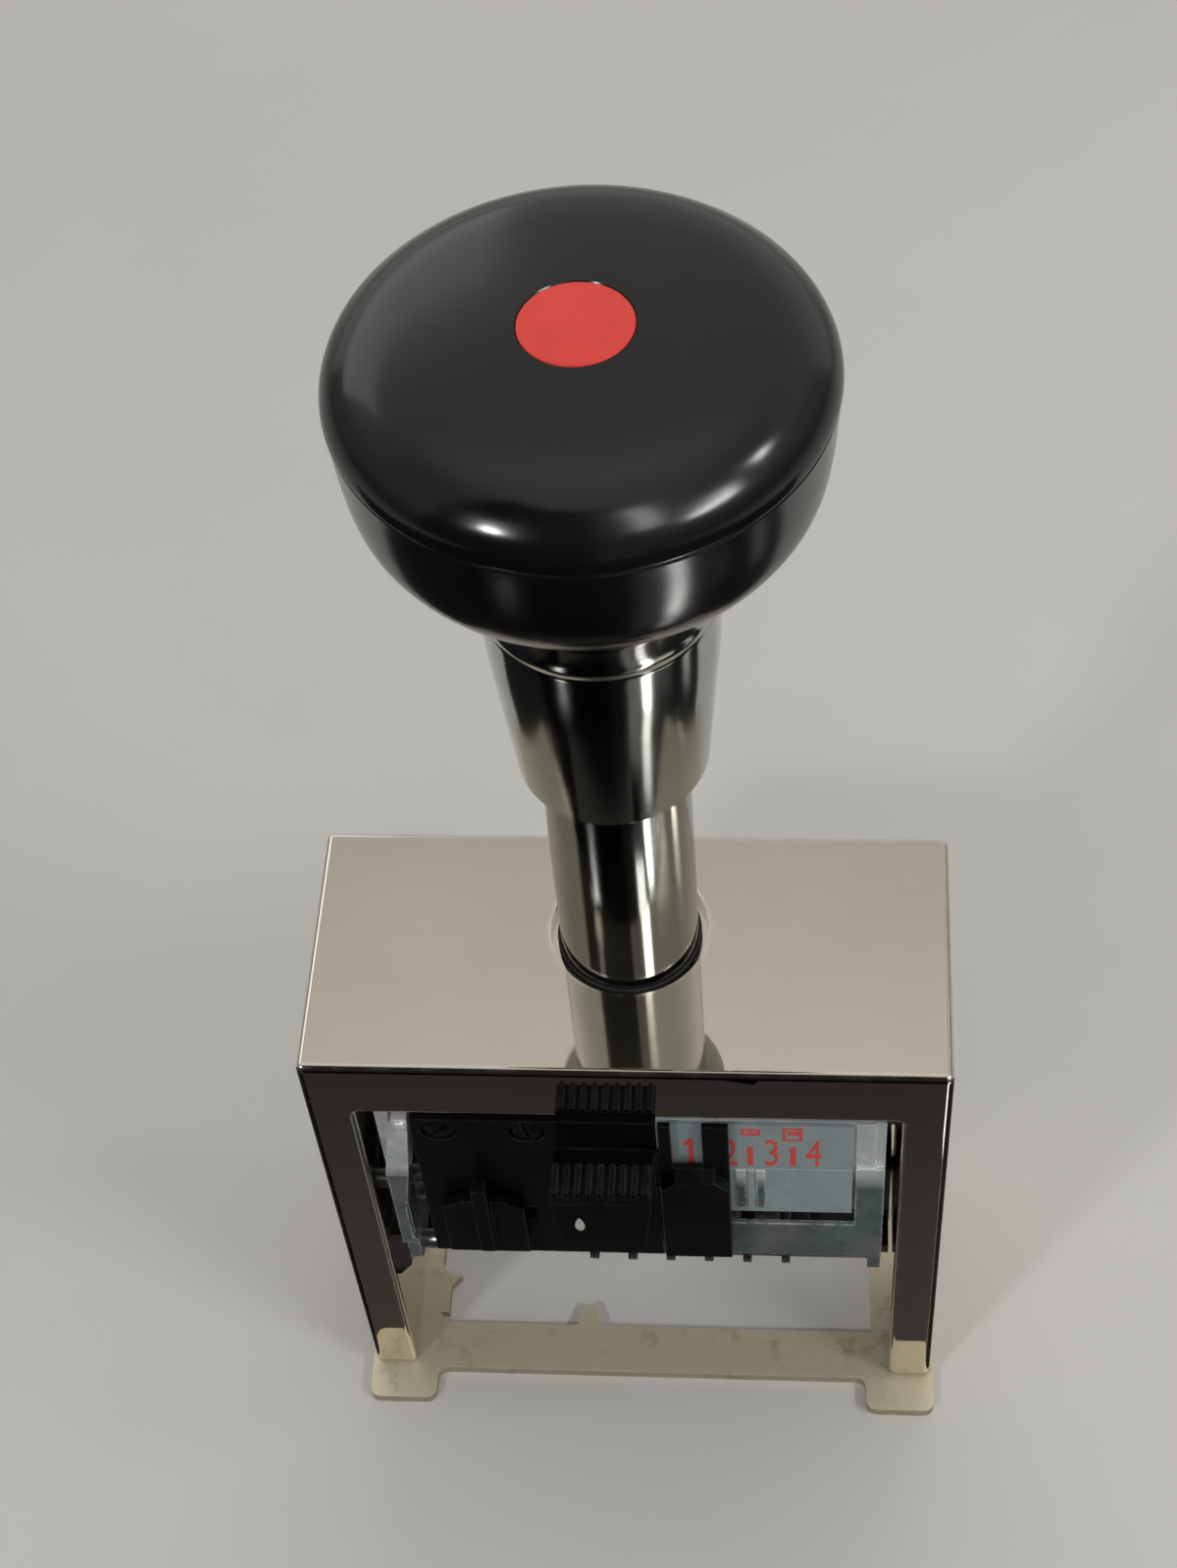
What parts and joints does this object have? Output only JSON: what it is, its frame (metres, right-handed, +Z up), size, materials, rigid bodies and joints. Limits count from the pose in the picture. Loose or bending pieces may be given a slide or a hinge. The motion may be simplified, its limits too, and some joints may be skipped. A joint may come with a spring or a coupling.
{
  "type": "numbering machine",
  "caption": "Self-inking hand numbering machine: U frame on a windowed base, guide tube, round palm knob and a head of number wheels with a repeat selector.",
  "frame": {"origin": "on the table, under the middle of the outline seen from above", "axes": "+X to the user's right, +Y away from the user, +Z up along the guide tube"},
  "size_m": [0.071, 0.0486, 0.1646],
  "materials": {
    "polished_nickel": "mirror polished nickel plate",
    "cream_nickel": "dull nickel plate",
    "chrome": "polished",
    "bright_steel": "turned and ground",
    "spring_steel": "spring steel",
    "zinc_plate": "zinc plate",
    "scale_grey": "satin with red figures",
    "brass": "turned",
    "gloss_black": "glossy",
    "satin_black": "satin",
    "red_insert": "satin",
    "ink_felt": "inked felt",
    "rubber": "dull"
  },
  "bodies": {
    "frame_unit": {"frame": "polished_nickel", "base_plate": "cream_nickel", "base_screw_1": "bright_steel", "base_screw_2": "bright_steel", "base_screw_3": "bright_steel", "base_screw_4": "bright_steel", "guide_tube": "chrome", "guide_bush": "brass", "stop_washer": "rubber", "return_spring": "spring_steel"},
    "head": {"knob": "gloss_black", "knob_dot": "red_insert", "collar": "chrome", "plunger_rod": "bright_steel", "rod_pin": "bright_steel", "spring_washer": "bright_steel", "head_bridge": "bright_steel", "left_side_plate": "zinc_plate", "right_side_plate": "zinc_plate", "left_plate_screw_1": "bright_steel", "left_plate_screw_2": "bright_steel", "right_plate_screw_1": "bright_steel", "right_plate_screw_2": "bright_steel", "flange_rivet": "bright_steel", "wheel_shaft": "bright_steel", "left_spacer": "bright_steel", "right_spacer": "bright_steel", "front_cover": "satin_black", "cover_screw_1": "satin_black", "cover_screw_2": "satin_black", "scale_plate": "scale_grey", "selector_rail": "bright_steel", "detent_shaft": "bright_steel", "cam_shaft": "bright_steel", "detent_pawl_1": "spring_steel", "detent_pawl_2": "spring_steel", "detent_pawl_3": "spring_steel", "detent_pawl_4": "spring_steel", "detent_pawl_5": "spring_steel", "detent_pawl_6": "spring_steel"},
    "pad_unit": {"pad_carrier": "satin_black", "ink_pad": "ink_felt", "left_cam_pin": "bright_steel", "right_cam_pin": "bright_steel"},
    "drive_swing": {"swing_frame": "bright_steel", "drive_pawl": "spring_steel"},
    "selector": {"selector_slide": "satin_black", "selector_shoe": "bright_steel"},
    "zero_unit": {"zero_slide": "satin_black", "zero_keeper": "bright_steel"},
    "drum": {"repeat_drum": "brass"},
    "wheel_1": {"number_wheel_1": "bright_steel"},
    "wheel_2": {"number_wheel_2": "bright_steel"},
    "wheel_3": {"number_wheel_3": "bright_steel"},
    "wheel_4": {"number_wheel_4": "bright_steel"},
    "wheel_5": {"number_wheel_5": "bright_steel"},
    "wheel_6": {"number_wheel_6": "bright_steel"}
  },
  "joints": [
    {"name": "press", "type": "slide", "parent": "frame_unit", "child": "head", "axis": [0, 0, -1], "range_m": [0, 0.0219], "stiffness_N_per_m": 400, "springref_m": -0.025, "deforming": ["return_spring"]},
    {"name": "pad_swing", "type": "hinge", "parent": "head", "child": "pad_unit", "pos_m": [0, -0.00108, 0.0325], "axis": [1, 0, 0], "range_deg": [0, 95]},
    {"name": "pawl_swing", "type": "hinge", "parent": "head", "child": "drive_swing", "pos_m": [0, -0.00108, 0.0325], "axis": [1, 0, 0], "range_deg": [-40, 0]},
    {"name": "selector_shift", "type": "slide", "parent": "head", "child": "selector", "axis": [1, 0, 0], "range_m": [0, 0.0138]},
    {"name": "zero_shift", "type": "slide", "parent": "head", "child": "zero_unit", "axis": [1, 0, 0], "range_m": [0, 0.004]},
    {"name": "drum_turn", "type": "hinge", "parent": "head", "child": "drum", "pos_m": [0, -0.00308, 0.0522], "axis": [1, 0, 0], "continuous": true},
    {"name": "wheel_1_turn", "type": "hinge", "parent": "head", "child": "wheel_1", "pos_m": [0, -0.00108, 0.0325], "axis": [1, 0, 0], "continuous": true},
    {"name": "wheel_2_turn", "type": "hinge", "parent": "head", "child": "wheel_2", "pos_m": [0, -0.00108, 0.0325], "axis": [1, 0, 0], "continuous": true},
    {"name": "wheel_3_turn", "type": "hinge", "parent": "head", "child": "wheel_3", "pos_m": [0, -0.00108, 0.0325], "axis": [1, 0, 0], "continuous": true},
    {"name": "wheel_4_turn", "type": "hinge", "parent": "head", "child": "wheel_4", "pos_m": [0, -0.00108, 0.0325], "axis": [1, 0, 0], "continuous": true},
    {"name": "wheel_5_turn", "type": "hinge", "parent": "head", "child": "wheel_5", "pos_m": [0, -0.00108, 0.0325], "axis": [1, 0, 0], "continuous": true},
    {"name": "wheel_6_turn", "type": "hinge", "parent": "head", "child": "wheel_6", "pos_m": [0, -0.00108, 0.0325], "axis": [1, 0, 0], "continuous": true}
  ],
  "couplings": [
    {"joint": "pad_swing", "follows": "press", "rad_per_m": 75.71},
    {"joint": "pawl_swing", "follows": "press", "rad_per_m": -31.87}
  ]
}
